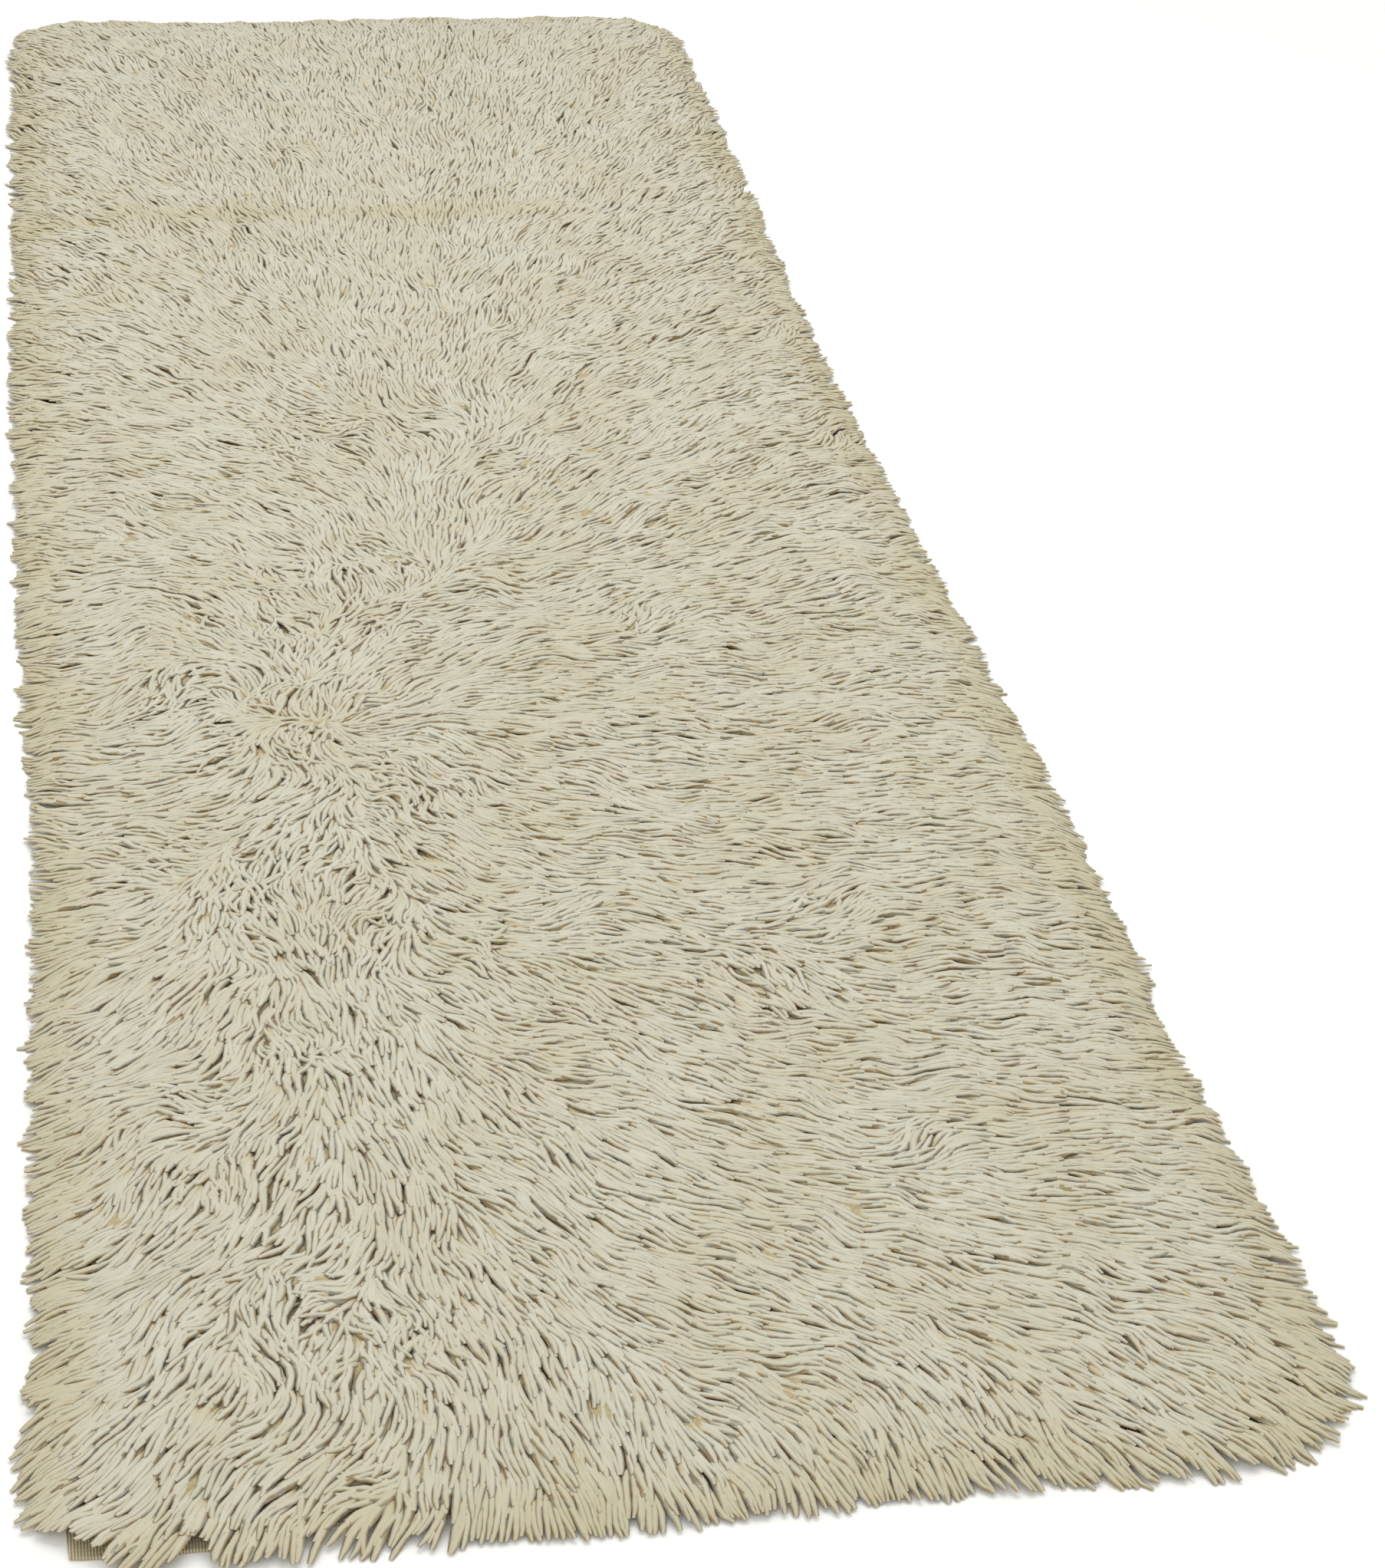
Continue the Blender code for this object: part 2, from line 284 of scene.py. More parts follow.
class SmoothNoise:
    """A smooth random field of unit spread, made of plane waves of about one length."""

    def __init__(self, length: float, seed: int, waves: int = 18) -> None:
        """Chooses the waves.

        Args:
            length: The usual wavelength, in metres.
            seed: The seed of the waves' directions, lengths and phases.
            waves: How many waves are added up.
        """
        dice = np.random.default_rng(seed)
        turn = dice.uniform(0.0, 2.0 * math.pi, waves)
        number = 2.0 * math.pi / (length * dice.uniform(0.65, 1.6, waves))
        self.across = number * np.cos(turn)
        self.along = number * np.sin(turn)
        self.phase = dice.uniform(0.0, 2.0 * math.pi, waves)

    def at(self, x: np.ndarray, y: np.ndarray) -> np.ndarray:
        """Gives the field's value at each place.

        Args:
            x: Places across the rug.
            y: Places along it.

        Returns:
            The values, most of them between -2 and 2.
        """
        total = np.zeros(np.shape(x))
        for across, along, phase in zip(self.across, self.along, self.phase):
            total += np.sin(across * x + along * y + phase)
        return total / math.sqrt(len(self.phase) / 2.0)


@dataclass
class RugPlan:
    """The rug's outline and heights, read from the frame on a grid.

    Args:
        pitch: The grid's spacing.
        margin: How far the grid reaches past the rug.
        selvedge: How far the ground shows past the knots at the sides.
        end_strip: How far it shows past them at the ends.
        rim_height: The height of the lying pile over the ground's edge.
        tip_height: Its height at the tips of the rim's locks.
        tip_reach: How far the tips lie outside the ground's edge.
        ease: Distance inside the outermost knots over which the solid's height takes over.
        corner: The front left corner, which is squarer than the solid's.
        corner_reach: The size of the area round it that is made squarer.
        squareness: The share of a square corner that it takes.
        long_corner: The place at the front right round which the locks reach further out.
        long_reach: The size of that area.
        longer: How much further they reach at its middle.
        bare_spots: Places across the rug, and half widths, where the front strip shows.
        bare_depth: How far the tips are drawn in there.
        bare_base: How far they are drawn in between those places.
        bare_base_from: Where across the rug that begins.
        bare_front: Where along the rug the drawing in begins.
        bare_fades: Distances across and along over which it begins.
        unevenness: Spread of the soft swells and hollows of the pile's top.
    """

    pitch: float = 0.008
    margin: float = 0.06
    selvedge: float = 0.008
    end_strip: float = 0.020
    rim_height: float = 0.0145
    tip_height: float = 0.0038
    tip_reach: float = 0.029
    ease: float = 0.012
    corner: tuple[float, float] = (-0.420, -1.407)
    corner_reach: float = 0.17
    squareness: float = 0.88
    long_corner: tuple[float, float] = (0.43, -1.35)
    long_reach: float = 0.13
    longer: float = 0.013
    bare_spots: tuple[tuple[float, float], ...] = ((-0.445, 0.017), (-0.411, 0.017), (-0.341, 0.0125))
    bare_depth: float = 0.030
    bare_base: float = 0.012
    bare_base_from: float = -0.27
    bare_front: float = -1.372
    bare_fades: tuple[float, float] = (0.03, 0.015)
    unevenness: float = 0.0012

    def __post_init__(self) -> None:
        """Reads the outline of the ground and the top of the pile."""
        low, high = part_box(PILE_NODE)
        self.low = np.array(low)
        self.high = np.array(high)
        self.ground_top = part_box(GROUND_NODE)[1].z
        across = np.arange(low.x - self.margin, high.x + self.margin + self.pitch, self.pitch)
        along = np.arange(low.y - self.margin, high.y + self.margin + self.pitch, self.pitch)
        self.start = np.array([across[0], along[0]])
        self.shape = (len(along), len(across))
        x, y = np.meshgrid(across, along)
        self.outline = self._ground_outline()
        self._measure_edges(x, y)
        self._measure_top(x, y)

    def _ground_outline(self) -> np.ndarray:
        """Makes the ground's outline, with the front left corner squarer than the solid's.

        Returns:
            The outline's points, in order round the rug.
        """
        corners = {
            (round(v.co.x, 6), round(v.co.y, 6))
            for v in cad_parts[GROUND_NODE].data.vertices
            if v.co.z < 0.5 * self.ground_top
        }
        corner_list = np.array(sorted(corners))
        turns = np.arctan2(corner_list[:, 1] / self.high[1], corner_list[:, 0] / self.high[0])
        points = corner_list[np.argsort(turns, kind="stable")]
        following = np.roll(points, -1, axis=0)
        near = np.hypot(*(points - self.corner).T) < 1.5 * self.corner_reach
        fine = []
        for point, end, close in zip(points, following, near):
            shares = (0.0, 0.25, 0.5, 0.75) if close else (0.0,)
            fine.extend(point + share * (end - point) for share in shares)
        outline = np.array(fine)
        away = np.clip((outline - self.corner) / self.corner_reach, 0.0, 1.0)
        pull = away.min(axis=1) * smooth_step(3.0 * (1.0 - away)).prod(axis=1)
        return outline - self.squareness * self.corner_reach * pull[:, None]

    def _measure_edges(self, x: np.ndarray, y: np.ndarray) -> None:
        """Measures how far each place is inside the ground's edge and inside the outermost knots.

        Args:
            x: Places of the grid across the rug.
            y: Places of the grid along it.
        """
        points = self.outline
        following = np.roll(points, -1, axis=0)
        quarters = (0.0, 0.25, 0.5, 0.75)
        fine = np.concatenate([points + share * (following - points) for share in quarters])
        normals = np.tile(following - points, (4, 1))
        normals = np.stack([normals[:, 1], -normals[:, 0]], axis=1)
        normals /= np.linalg.norm(normals, axis=1, keepdims=True) + 1e-12
        places = np.stack([x.ravel(), y.ravel()], axis=1)
        away = places[:, None, :] - fine[None, :, :]
        squared = (away**2).sum(axis=2)
        nearest = squared.argmin(axis=1)
        rows = np.arange(len(places))
        outside = np.sign((away[rows, nearest] * normals[nearest]).sum(axis=1))
        inside = -outside * np.sqrt(squared[rows, nearest])
        strip = self.selvedge + (self.end_strip - self.selvedge) * np.abs(normals[nearest, 1])
        self.edge_grid = inside.reshape(self.shape)
        self.knots_grid = (inside - strip).reshape(self.shape)

    def _measure_top(self, x: np.ndarray, y: np.ndarray) -> None:
        """Drops a ray at each place onto the pile's solid, and eases its height off past the knots.

        Args:
            x: Places of the grid across the rug.
            y: Places of the grid along it.
        """
        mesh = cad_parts[PILE_NODE].data
        tree = BVHTree.FromPolygons(
            [v.co.copy() for v in mesh.vertices], [list(p.vertices) for p in mesh.polygons]
        )
        down = Vector((0.0, 0.0, -1.0))
        top = np.zeros(self.shape)
        for row in range(self.shape[0]):
            for column in range(self.shape[1]):
                if self.knots_grid[row, column] > 0.0:
                    hit = tree.ray_cast(Vector((x[row, column], y[row, column], 1.0)), down)[0]
                    top[row, column] = hit.z if hit else self.rim_height
        outwards = np.clip(-self.edge_grid / self.tip_reach, 0.0, 1.0)
        rim = self.rim_height + (self.tip_height - self.rim_height) * outwards
        inner = smooth_step(self.knots_grid / self.ease)
        self.top_grid = inner * top + (1.0 - inner) * rim

    def sample(self, grid: np.ndarray, x: np.ndarray, y: np.ndarray) -> np.ndarray:
        """Reads a grid between its places.

        Args:
            grid: One of the plan's grids.
            x: Places across the rug.
            y: Places along it.

        Returns:
            The grid's value at each place.
        """
        column = np.clip((x - self.start[0]) / self.pitch, 0.0, self.shape[1] - 1.001)
        row = np.clip((y - self.start[1]) / self.pitch, 0.0, self.shape[0] - 1.001)
        left = column.astype(int)
        front = row.astype(int)
        s = column - left
        t = row - front
        near = grid[front, left] * (1 - s) + grid[front, left + 1] * s
        far = grid[front + 1, left] * (1 - s) + grid[front + 1, left + 1] * s
        return near * (1 - t) + far * t

    def edge(self, x: np.ndarray, y: np.ndarray) -> np.ndarray:
        """Gives the distance inside the ground's edge."""
        return self.sample(self.edge_grid, x, y)

    def knots(self, x: np.ndarray, y: np.ndarray) -> np.ndarray:
        """Gives the distance inside the outermost knots."""
        return self.sample(self.knots_grid, x, y)

    def top(self, x: np.ndarray, y: np.ndarray) -> np.ndarray:
        """Gives the height of the pile's top."""
        return self.sample(self.top_grid, x, y)

    def bare(self, x: np.ndarray, y: np.ndarray) -> np.ndarray:
        """Gives how far the tips are drawn in where the woven strip shows at the front left.

        Args:
            x: Places across the rug.
            y: Places along it.

        Returns:
            The distance, less than zero at the front right corner, where the locks reach further out.
        """
        total = self.bare_base * smooth_step((self.bare_base_from - x) / self.bare_fades[0])
        for place, half in self.bare_spots:
            total = np.maximum(total, self.bare_depth * smooth_step(1.5 - np.abs(x - place) / half))
        away = (x - self.long_corner[0]) ** 2 + (y - self.long_corner[1]) ** 2
        longer = self.longer * np.exp(-away / self.long_reach**2)
        return total * smooth_step((self.bare_front - y) / self.bare_fades[1]) - longer


@dataclass
class CombField:
    """The direction in which the locks lie, from the comb table, the tousled patches and soft noise.

    Args:
        drift: Spread of the slow wandering of the direction, in radians.
        drift_length: Wavelength of that wandering.
        waver: Spread of the quick wandering.
        waver_length: Wavelength of the quick one.
        curl: Spread of the direction in a fully tousled place.
        curl_length: Size of the curls there.
        nearer: How much nearer the front the locks lie than the places in the tables, which were
            read as if on the floor.
    """

    drift: float = 0.13
    drift_length: float = 0.11
    waver: float = 0.10
    waver_length: float = 0.036
    curl: float = 0.50
    curl_length: float = 0.060
    nearer: float = 0.042

    def __post_init__(self) -> None:
        """Sorts the comb table and makes the noises."""
        rows = sorted(COMB)
        self.places = np.array([row.y for row in rows])
        turns = np.radians(np.array([row[1:] for row in rows], dtype=float))
        self.vectors = np.stack([np.cos(turns), np.sin(turns)], axis=-1)
        self.columns = np.array(COMB_PLACES)
        self.drifts = SmoothNoise(self.drift_length, seed=11)
        self.wavers = SmoothNoise(self.waver_length, seed=12)
        self.curls = SmoothNoise(self.curl_length, seed=13)

    def tousle(self, x: np.ndarray, y: np.ndarray) -> np.ndarray:
        """Gives how tousled each place is.

        Args:
            x: Places across the rug.
            y: Places along it.

        Returns:
            Values from 0, combed, to 1, fully ruffled.
        """
        total = np.zeros(np.shape(x))
        for patch in TOUSLED:
            away = ((x - patch.x) ** 2 + (y + self.nearer - patch.y) ** 2) / patch.radius**2
            total = np.maximum(total, patch.ruffle * np.exp(-away))
        return total

    def angle(self, x: np.ndarray, y: np.ndarray) -> np.ndarray:
        """Gives the comb direction at each place.

        Args:
            x: Places across the rug.
            y: Places along it.

        Returns:
            The directions, in radians from +X to +Y.
        """
        tousle = self.tousle(x, y)
        y = y + self.nearer
        row = np.clip(np.searchsorted(self.places, y) - 1, 0, len(self.places) - 2)
        column = np.clip(np.searchsorted(self.columns, x) - 1, 0, len(self.columns) - 2)
        t = np.clip((y - self.places[row]) / (self.places[row + 1] - self.places[row]), 0.0, 1.0)
        width = self.columns[column + 1] - self.columns[column]
        s = np.clip((x - self.columns[column]) / width, 0.0, 1.0)
        t = t[..., None]
        s = s[..., None]
        near = self.vectors[row, column] * (1 - s) + self.vectors[row, column + 1] * s
        far = self.vectors[row + 1, column] * (1 - s) + self.vectors[row + 1, column + 1] * s
        vector = near * (1 - t) + far * t
        angle = np.arctan2(vector[..., 1], vector[..., 0])
        angle = angle + self.drift * self.drifts.at(x, y) + self.waver * self.wavers.at(x, y)
        angle = angle + self.curl * tousle * self.curls.at(x, y)
        for patch in TOUSLED:
            away = ((x - patch.x) ** 2 + (y - patch.y) ** 2) / patch.radius**2
            angle = angle + patch.turn * np.exp(-away)
        return angle


@dataclass(frozen=True)
class WoolYarnFinish:
    """Hand-spun two-ply pile wool, washed and undyed.

    It gives the eye a matt, slightly fuzzy cream with streaks along the yarn, and warm tan painted as
    shade where the light doesn't reach: on the sides of a lock, in broken patches, and towards its
    root, where it adds to the roots' own tan.

    Args:
        name: The material's name.
        pale: Colour of the lightest locks.
        cream: Colour of the darkest clean ones.
        warm: Colour of yellowed wool in soft patches, and of painted shade at the rim, where the pile
            curves down.
        shade: Colour of painted shade on a lock's sides, where the grooves between locks lie.
        root: Colour near its knot: the roots' own tan together with painted shade of the deep pile.
        roughness: The fibres' roughness.
        sheen: Weight of the soft light on their fuzz.
        patch_scale: How many patches of the noise that breaks up the painted side shade there are in a
            metre.
        ply_pitch: Length of one turn of the plies, in metres.
        ply_slant: How far the plies turn across the yarn, in radians.
        ply_height: Their height, as a share of the fibres'.
        fibre_stretch: Streaks across half a yarn, in a metre of it and from lock to lock.
    """

    name: str = "hand_spun_wool_yarn"
    pale: str = "#d5d3c5"
    cream: str = "#ccc9b6"
    warm: str = "#c6bd9b"
    shade: str = "#bf9f63"
    root: str = "#c6b289"
    roughness: float = 0.88
    sheen: float = 0.25
    patch_scale: float = 130.0
    ply_pitch: float = 0.009
    ply_slant: float = 7.0
    ply_height: float = 0.16
    fibre_stretch: tuple[float, float, float] = (9.0, 170.0, 40.0)

    def make(self) -> bpy.types.Material:
        """Builds the material.

        Returns:
            The material, with its nodes.
        """
        material, shader = start_material(self.name, self.roughness, 0.25)
        tree = material.node_tree
        shader.inputs["Sheen Weight"].default_value = self.sheen
        shader.inputs["Sheen Roughness"].default_value = 0.5
        uv = add_node(tree, "ShaderNodeTexCoord")
        parts = add_node(tree, "ShaderNodeSeparateXYZ", links={0: uv.outputs["UV"]})
        across, length = parts.outputs["X"], parts.outputs["Y"]
        tone = attribute(tree, "tone")
        colour = self._colour(tree, uv.outputs["Object"], across, tone)
        dress(shader, colour, self._normal(tree, across, length, tone))
        return material

    def _colour(self, tree: Any, place: Any, across: Any, tone: Any) -> Any:
        """Mixes the colour: clean or yellowed wool, with painted shade at the rim, on the sides and
        towards the root, where the roots' own tan adds to it.

        Args:
            tree: The material's node tree.
            place: The socket of the place on the rug.
            across: The socket of the place round the yarn, from -0.5 to 0.5.
            tone: The socket of the lock's own tone.

        Returns:
            The colour's socket.
        """
        body = mix(tree, tone, self.cream, self.pale)
        # Yellowed wool, a faint tan band, and painted shade at the rim where the pile curves down
        yellowed_and_rim_shaded = mix(tree, attribute(tree, "tan_and_rim_shade"), body, self.warm)
        # Painted shade on each lock's sides, where the grooves between locks lie, broken into patches by
        # noise
        side = ramp(tree, compute(tree, "ABSOLUTE", across), start=0.20, end=0.42, top=0.85)
        patches = {"Scale": self.patch_scale, "Detail": 1.0}
        gaps = add_node(tree, "ShaderNodeTexNoise", patches, {"Vector": place}).outputs["Fac"]
        broken_side_shade = compute(tree, "MULTIPLY", side, ramp(tree, gaps, start=0.38, end=0.62))
        shaded = mix(tree, broken_side_shade, yellowed_and_rim_shaded, self.shade)
        # Painted shade deep in the pile towards the root, together with the roots' own tan
        depth = ramp(tree, attribute(tree, "reach"), start=0.42, end=0.04, top=0.9)
        return mix(tree, depth, shaded, self.root)

    def _normal(self, tree: Any, across: Any, length: Any, tone: Any) -> Any:
        """Raises the two plies and the fibres along them.

        Args:
            tree: The material's node tree.
            across: The socket of the place round the yarn, from -0.5 to 0.5.
            length: The socket of the place along it, in metres.
            tone: The socket of the lock's own tone, which sets each lock's fibres apart.

        Returns:
            The normal's socket.
        """
        slant = compute(tree, "MULTIPLY", across, self.ply_slant)
        turns = compute(tree, "MULTIPLY_ADD", length, 2.0 * math.pi / self.ply_pitch, slant)
        ply = compute(tree, "SINE", turns)
        place = add_node(tree, "ShaderNodeCombineXYZ", links={"X": across, "Y": length, "Z": tone})
        stretch = {"operation": "MULTIPLY", 1: self.fibre_stretch}
        stretched = add_node(tree, "ShaderNodeVectorMath", stretch, {0: place.outputs[0]})
        grain = {"Scale": 1.0, "Detail": 3.0, "Roughness": 0.6}
        streaks = add_node(tree, "ShaderNodeTexNoise", grain, {"Vector": stretched.outputs[0]})
        relief = compute(tree, "MULTIPLY_ADD", ply, self.ply_height, streaks.outputs["Fac"])
        return bump(tree, relief, strength=0.55, distance=0.0014)


@dataclass(frozen=True)
class MattedWoolFinish:
    """Dense matted wool at the foot of the pile, seen only through the gaps.

    It gives the eye a dull, tangled tan with no line or edge in it. The tan, darker than the locks'
    wool, is painted shade of the deep pile as well as the wool's own colour.

    Args:
        name: The material's name.
        light: Colour of the upper fibres.
        dark: Colour between them, a painted shade where the tangle is low.
        roughness: Their roughness.
    """

    name: str = "matted_wool_base"
    light: str = "#c9bc99"
    dark: str = "#ad9c75"
    roughness: float = 0.95

    def make(self) -> bpy.types.Material:
        """Builds the material.

        Returns:
            The material, with its nodes.
        """
        material, shader = start_material(self.name, self.roughness, 0.15)
        tree = material.node_tree
        place = add_node(tree, "ShaderNodeTexCoord").outputs["Object"]
        grain = {"Scale": 160.0, "Detail": 4.0, "Distortion": 1.5}
        tangle = add_node(tree, "ShaderNodeTexNoise", grain, {"Vector": place}).outputs["Fac"]
        relief = bump(tree, tangle, strength=0.8, distance=0.004)
        # Darker where the tangle's relief is low: painted shade
        dress(shader, mix(tree, tangle, self.dark, self.light), relief)
        return material


@dataclass(frozen=True)
class WovenWoolFinish:
    """Flat-woven undyed wool, with ribs of warp along the rug and fine wefts across them.

    It gives the eye a row of narrow ribs with dark lines of painted shade between, crossed by a faint
    beat.
    The ribs are drawn 2 mm apart, about twice a real warp's spacing, so that they show.

    Args:
        name: The material's name.
        light: Colour of the ribs.
        dark: Colour between them, a painted shade in the grooves.
        rib_pitch: Distance between ribs, in metres.
        weft_pitch: Distance between wefts, in metres.
        roughness: The wool's roughness.
    """

    name: str = "flat_woven_wool"
    light: str = "#d9d0b6"
    dark: str = "#a0906a"
    rib_pitch: float = 0.0020
    weft_pitch: float = 0.0036
    roughness: float = 0.93

    def make(self) -> bpy.types.Material:
        """Builds the material.

        Returns:
            The material, with its nodes.
        """
        material, shader = start_material(self.name, self.roughness, 0.2)
        tree = material.node_tree
        place = add_node(tree, "ShaderNodeTexCoord").outputs["Object"]
        bands = []
        for direction, pitch, distortion in (("X", self.rib_pitch, 0.6), ("Y", self.weft_pitch, 0.8)):
            shape = {
                "bands_direction": direction,
                "Scale": 0.314 / pitch,
                "Distortion": distortion,
                "Detail": 1.0,
            }
            bands.append(add_node(tree, "ShaderNodeTexWave", shape, {"Vector": place}).outputs["Fac"])
        ribs, wefts = bands
        weave = compute(tree, "MULTIPLY_ADD", wefts, 0.35, ribs)
        relief = bump(tree, weave, strength=0.9, distance=0.0008)
        # Darker where the ribs' relief is low: painted shade in the grooves
        dress(shader, mix(tree, ribs, self.dark, self.light), relief)
        return material


@dataclass(frozen=True)
class StudioFloorFinish:
    """Matt white paper of a studio floor, which gives the eye no edge or texture.

    Args:
        name: The material's name.
        colour: The paper's colour.
    """

    name: str = "pale_studio_paper"
    colour: str = "#fafaf9"

    def make(self) -> bpy.types.Material:
        """Builds the material.

        Returns:
            The material, with its nodes.
        """
        material, shader = start_material(self.name, 0.9, 0.5)
        shader.inputs["Base Color"].default_value = linear(self.colour)
        return material


def link_data(name: str, data: Any) -> bpy.types.Object:
    """Puts a mesh, a light or a camera into the scene.

    Args:
        name: The object's name.
        data: What it is made of.

    Returns:
        The object.
    """
    item = bpy.data.objects.new(name, data)
    bpy.context.scene.collection.objects.link(item)
    return item


def set_height(parts: list, height: float) -> None:
    """Moves the corners among the parts of a mesh to one height."""
    for corner in (part for part in parts if isinstance(part, bmesh.types.BMVert)):
        corner.co.z = height


def finish_mesh(name: str, mesh: bmesh.types.BMesh, finish: Any) -> bpy.types.Object:
    """Turns a closed mesh into a piece.

    Args:
        name: The piece's name.
        mesh: The mesh, which is freed.
        finish: The finish that it gets.

    Returns:
        The piece.
    """
    bmesh.ops.recalc_face_normals(mesh, faces=mesh.faces)
    data = bpy.data.meshes.new(name)
    mesh.to_mesh(data)
    mesh.free()
    data.materials.append(finish.make())
    return link_data(name, data)


class YarnSweep:
    """A node tree that sweeps a low three-sided section, ridge up, along lines and dresses it."""

    # Height of the section as a share of a regular one
    FLATNESS = 0.32

    def __init__(self, finish: bpy.types.Material) -> None:
        """Builds the tree.

        Args:
            finish: The material of the yarn.
        """
        self.finish = finish
        tree = bpy.data.node_groups.new("yarn_sweep", "GeometryNodeTree")
        self.tree = tree
        face = tree.interface
        face.new_socket("Geometry", in_out="INPUT", socket_type="NodeSocketGeometry")
        width = face.new_socket("Yarn Width", in_out="INPUT", socket_type="NodeSocketFloat")
        finish_socket = face.new_socket("Finish", in_out="INPUT", socket_type="NodeSocketMaterial")
        face.new_socket("Geometry", in_out="OUTPUT", socket_type="NodeSocketGeometry")
        self.width_id = width.identifier
        self.finish_id = finish_socket.identifier
        start = add_node(tree, "NodeGroupInput")
        curve = add_node(tree, "GeometryNodeMeshToCurve", links={0: start.outputs["Geometry"]})
        upright = add_node(tree, "GeometryNodeSetCurveNormal", {"mode": "Z_UP"}, {0: curve.outputs[0]})
        half = compute(tree, "DIVIDE", start.outputs["Yarn Width"], math.sqrt(3.0))
        ring = add_node(tree, "GeometryNodeCurvePrimitiveCircle", {"Resolution": 3}, {"Radius": half})
        shape = {"Rotation": (0.0, 0.0, math.radians(-90.0)), "Scale": (self.FLATNESS, 1.0, 1.0)}
        turned = add_node(tree, "GeometryNodeTransform", shape, {0: ring.outputs[0]})
        third = 2.0 * math.pi / 3.0
        index = add_node(tree, "GeometryNodeInputIndex").outputs[0]
        side = compute(tree, "SINE", compute(tree, "MULTIPLY", index, third))
        around = compute(tree, "MULTIPLY", side, 0.5 / math.sin(third))
        section = self._store("around", around, turned, "FLOAT", "POINT")
        sweep = add_node(
            tree,
            "GeometryNodeCurveToMesh",
            {"Fill Caps": True},
            {0: upright.outputs[0], 1: section.outputs[0], "Scale": self._read("taper")},
        )
        places = {"X": self._read("around"), "Y": self._read("length")}
        pair = add_node(tree, "ShaderNodeCombineXYZ", links=places)
        uv = self._store("UVMap", pair.outputs[0], sweep, "FLOAT2", "CORNER")
        smooth = add_node(tree, "GeometryNodeSetShadeSmooth", links={0: uv.outputs[0]})
        real = add_node(tree, "GeometryNodeRealizeInstances", links={0: smooth.outputs[0]})
        links = {0: real.outputs[0], "Material": start.outputs["Finish"]}
        dressed = add_node(tree, "GeometryNodeSetMaterial", links=links)
        add_node(tree, "NodeGroupOutput", links={0: dressed.outputs[0]})

    def _read(self, name: str) -> Any:
        """Gives the socket of a value that the points carry."""
        settings = {"data_type": "FLOAT", "Name": name}
        return add_node(self.tree, "GeometryNodeInputNamedAttribute", settings).outputs[0]

    def _store(self, name: str, value: Any, geometry: Any, kind: str, domain: str) -> Any:
        """Adds a node that stores a socket's value on the geometry of another node.

        Args:
            name: The value's name.
            value: Its socket.
            geometry: The node whose geometry gets it.
            kind: The value's type.
            domain: What carries it, points or face corners.

        Returns:
            The new node.
        """
        settings = {"data_type": kind, "domain": domain, "Name": name}
        links = {0: geometry.outputs[0], "Value": value}
        return add_node(self.tree, "GeometryNodeStoreNamedAttribute", settings, links)

    def make(
        self, name: str, lines: np.ndarray, width: float, values: dict[str, np.ndarray]
    ) -> bpy.types.Object:
        """Sweeps the yarn along lines of equally many points.

        Args:
            name: The name of the piece.
            lines: Points of each line, as lines by points by three.
            width: The yarn's full width.
            values: Values of each point by name, as lines by points.

        Returns:
            The piece, as a plain mesh.
        """
        count, steps = lines.shape[:2]
        mesh = bpy.data.meshes.new(name + "_lines")
        mesh.vertices.add(count * steps)
        mesh.vertices.foreach_set("co", lines.astype(np.float32).ravel())
        first = (np.arange(count)[:, None] * steps + np.arange(steps - 1)[None, :]).ravel()
        mesh.edges.add(len(first))
        ends = np.stack([first, first + 1], axis=1)
        mesh.edges.foreach_set("vertices", ends.astype(np.int32).ravel())
        for key, value in values.items():
            layer = mesh.attributes.new(key, "FLOAT", "POINT")
            layer.data.foreach_set("value", value.astype(np.float32).ravel())
        mesh.update()
        carrier = link_data(name + "_lines", mesh)
        modifier = carrier.modifiers.new("sweep", "NODES")
        modifier.node_group = self.tree
        modifier[self.width_id] = width
        modifier[self.finish_id] = self.finish
        graph = bpy.context.evaluated_depsgraph_get()
        result = bpy.data.meshes.new_from_object(carrier.evaluated_get(graph))
        result.name = name
        bpy.data.objects.remove(carrier)
        bpy.data.meshes.remove(mesh)
        return link_data(name, result)


